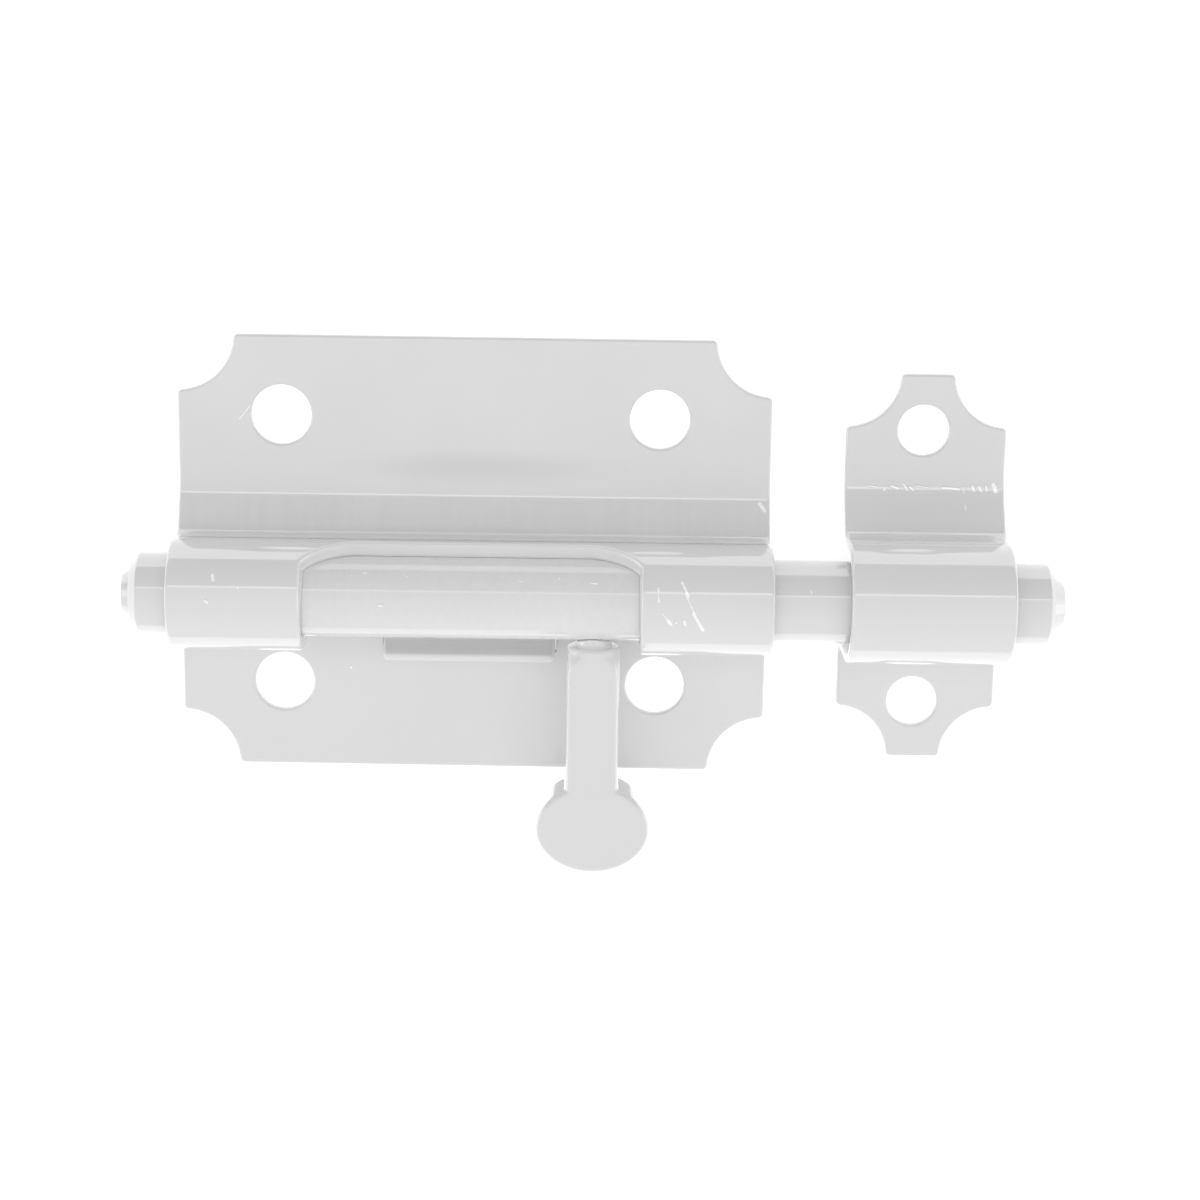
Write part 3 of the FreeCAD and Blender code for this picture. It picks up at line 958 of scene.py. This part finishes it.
# Knob
# A forged steel handle riveted square on the rod: its shank is round at the shoulder and nearly
# square from there to the thick oval head, which sits a little off the middle. The enamel has run
# into its corners, so that the shank flows into the head without a line.
KNOB_X = 12.65 * MM
SHANK_R = 2.65 * MM
SHANK_TO_ROD = 0.05 * MM
TENON_R = 1.8 * MM
TENON_LENGTH = 0.6 * MM
TENON_RINGS = 8
SHANK_EDGE_R = 0.3 * MM
NECK_LENGTH = 3.0 * MM
NECK_RINGS = 20
NECK_SQUARENESS = 9.0
HEAD_REACH = 23.5 * MM
HEAD_OFF_MIDDLE = 0.15 * MM
HEAD_HALF_WIDTH = 5.75 * MM
HEAD_HALF_LENGTH = 4.6 * MM
HEAD_THICKNESS = 5.32 * MM
HEAD_EDGE_R = 0.5 * MM
PAINT_GRAIN = 0.13 * MM
PAINT_FLOW = 0.5
PAINT_FLOW_ROUNDS = 6
# specks along the shank's edge, each with a painted highlight (full white and a faint glow); start,
# end and half width in millimetres
KNOB_NIBS_AND_GLINTS = [
    ((10.35, -8.6, 9.35), (10.35, -8.9, 9.35), 0.2),
    ((10.35, -10.9, 9.35), (10.45, -11.0, 9.4), 0.16),
    ((10.3, -11.9, 9.35), (10.5, -11.7, 9.4), 0.22),
    ((10.3, -12.5, 9.35), (10.5, -12.5, 9.4), 0.2),
]

knob_work = slab(
    [
        [
            (
                KNOB_X + HEAD_OFF_MIDDLE + HEAD_HALF_WIDTH * x,
                AXIS_Y - HEAD_REACH + HEAD_HALF_LENGTH * y,
            )
            for x, y in arc((0, 0), 1, 0, 2 * math.pi)[:-1]
        ]
    ],
    HEAD_THICKNESS,
    HEAD_EDGE_R,
)
bmesh.ops.translate(knob_work, verts=knob_work.verts, vec=(0, 0, AXIS_Z))
shank_start = ROD_R + SHANK_TO_ROD
shoulder = shank_start + TENON_LENGTH


def shank_squareness(reach):
    """Round at its shoulder, the shank is forged with four flat sides from there to the head."""
    part = min(max((reach - shoulder - SHANK_EDGE_R) / NECK_LENGTH, 0), 1)
    return 2 + (NECK_SQUARENESS - 2) * part * part * (3 - 2 * part)


shank_profile = soften(
    [
        (shank_start - TENON_R, 0),
        (shank_start - TENON_R, TENON_R),
        (shoulder, TENON_R),
        (shoulder, SHANK_R),
        (shoulder + SHANK_R, SHANK_R),
    ],
    SHANK_EDGE_R,
)[:-1]
shank_profile[:1] = [(shank_start - TENON_R, TENON_R * i / TENON_RINGS) for i in range(TENON_RINGS)]
neck = shoulder + SHANK_EDGE_R + HOLD
shank_profile += [(neck + NECK_LENGTH * i / NECK_RINGS, SHANK_R) for i in range(1, NECK_RINGS + 1)]
shank_profile += [(HEAD_REACH, SHANK_R), (HEAD_REACH, 0)]
turned(
    knob_work,
    shank_profile,
    Vector((KNOB_X, AXIS_Y, AXIS_Z)),
    Vector((0, -1, 0)),
    Vector((1, 0, 0)),
    shank_squareness,
)
# the tenon's end is hollowed to the rod's round
for vert in knob_work.verts:
    reach, rise = AXIS_Y - vert.co.y, vert.co.z - AXIS_Z
    if reach * reach + rise * rise < shank_start * shank_start:
        vert.co.y = AXIS_Y - math.sqrt(shank_start * shank_start - rise * rise)
knob = keep_mesh(knob_work, "painted_knob")
skin = knob.modifiers.new("one_skin", "REMESH")
skin.mode = "VOXEL"
skin.voxel_size = PAINT_GRAIN
skin.use_smooth_shade = True
flow = knob.modifiers.new("paint_flow", "SMOOTH")
flow.factor = PAINT_FLOW
flow.iterations = PAINT_FLOW_ROUNDS
settle(knob)
knob_paint = gloss_paint("white_knob_enamel", ROD_TONE, KNOB_NIBS_AND_GLINTS)
knob.data.materials.clear()
knob.data.materials.append(knob_paint)
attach(knob, "handle")
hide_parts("knob")

# White sheet and light
# The bolt lies on its back on a large white sheet, which goes to plain white in the picture but
# keeps its deep shadows. The white room is bright on the knob's side and dimmer up the door, with
# a bright wall off each end of the rod and one thin strip lamp overhead.
SHEET_SIZE = 8.0
SHEET_DROP = 0.2 * MM
SHEET_WHITE = 1.0
# only the camera and reflections see this glow
SHEET_GLOW = 0.6
ROOM_BRIGHT = 0.86
ROOM_DIM = 0.49
ROOM_EDGE = 0.03
SIDE_BRIGHT = 1.2
SIDE_HALF_ANGLE = math.radians(25)
SIDE_CORE = 0.6
STRIP_LEAN = math.radians(27)
ROOM_BRIGHT_SIDE = Vector((0, -math.cos(STRIP_LEAN), math.sin(STRIP_LEAN)))
STRIP_REACH = 0.8
STRIP_LENGTH = 0.9
STRIP_WIDTH = 0.05
STRIP_POWER = 0.15

floor_mesh = bpy.data.meshes.new("white_sheet")
half_sheet = SHEET_SIZE / 2
floor_mesh.from_pydata(
    [(x * half_sheet, y * half_sheet, -SHEET_DROP) for x, y in ((-1, -1), (1, -1), (1, 1), (-1, 1))],
    [],
    [(0, 1, 2, 3)],
)
floor = bpy.data.objects.new("white_sheet", floor_mesh)
bpy.context.scene.collection.objects.link(floor)
floor_finish = bpy.data.materials.new("white_sheet_matt")
floor_finish.use_nodes = True
tree = floor_finish.node_tree
matt = tree.nodes["Principled BSDF"]
matt.inputs["Base Color"].default_value = (SHEET_WHITE, SHEET_WHITE, SHEET_WHITE, 1)
matt.inputs["Roughness"].default_value = 1.0
matt.inputs["Specular IOR Level"].default_value = 0.0
path = node(tree, "ShaderNodeLightPath")
seen = path.outputs["Is Camera Ray"]
for ray in ("Is Glossy Ray", "Is Transmission Ray"):
    seen = maths(tree, "MAXIMUM", seen, path.outputs[ray])
glow = node(tree, "ShaderNodeEmission")
tree.links.new(maths(tree, "MULTIPLY", seen, SHEET_GLOW), glow.inputs["Strength"])
both = node(tree, "ShaderNodeAddShader")
tree.links.new(matt.outputs[0], both.inputs[0])
tree.links.new(glow.outputs[0], both.inputs[1])
tree.links.new(both.outputs[0], tree.nodes["Material Output"].inputs["Surface"])
floor_mesh.materials.append(floor_finish)

room = bpy.data.worlds.new("white_room")
bpy.context.scene.world = room
room.use_nodes = True
room_nodes = room.node_tree
sky = room_nodes.nodes["Background"]
sky.inputs["Color"].default_value = (1, 1, 1, 1)
look = node(room_nodes, "ShaderNodeTexCoord").outputs["Generated"]
toward = vectors(room_nodes, "DOT_PRODUCT", look, ROOM_BRIGHT_SIDE).outputs["Value"]
shade = node(room_nodes, "ShaderNodeMapRange", interpolation_type="SMOOTHSTEP")
shade.inputs["From Min"].default_value = -ROOM_EDGE
shade.inputs["From Max"].default_value = ROOM_EDGE
shade.inputs["To Min"].default_value = ROOM_DIM
shade.inputs["To Max"].default_value = ROOM_BRIGHT
room_nodes.links.new(toward, shade.inputs["Value"])
aside = node(room_nodes, "ShaderNodeSeparateXYZ")
room_nodes.links.new(look, aside.inputs[0])
end_on = node(room_nodes, "ShaderNodeMapRange", interpolation_type="SMOOTHSTEP")
end_on.inputs["From Min"].default_value = math.cos(SIDE_HALF_ANGLE)
end_on.inputs["From Max"].default_value = math.cos(SIDE_HALF_ANGLE * SIDE_CORE)
end_on.inputs["To Max"].default_value = SIDE_BRIGHT
room_nodes.links.new(maths(room_nodes, "ABSOLUTE", aside.outputs[0]), end_on.inputs["Value"])
strength = maths(room_nodes, "ADD", shade.outputs[0], end_on.outputs[0])
room_path = node(room_nodes, "ShaderNodeLightPath")
strength = maths(room_nodes, "MAXIMUM", strength, room_path.outputs["Is Camera Ray"])
room_nodes.links.new(strength, sky.inputs["Strength"])

strip_data = bpy.data.lights.new("thin_strip", "AREA")
strip_data.shape = "RECTANGLE"
strip_data.energy = STRIP_POWER
strip_data.size = STRIP_LENGTH
strip_data.size_y = STRIP_WIDTH
strip = bpy.data.objects.new("thin_strip", strip_data)
strip_from = Vector((0, math.sin(STRIP_LEAN), math.cos(STRIP_LEAN)))
strip_axes = Matrix((Vector((1, 0, 0)), strip_from.cross(Vector((1, 0, 0))), strip_from)).transposed()
strip.matrix_world = Matrix.Translation(strip_from * STRIP_REACH) @ strip_axes.to_4x4()
bpy.context.scene.collection.objects.link(strip)

bpy.context.scene.view_settings.view_transform = "Standard"
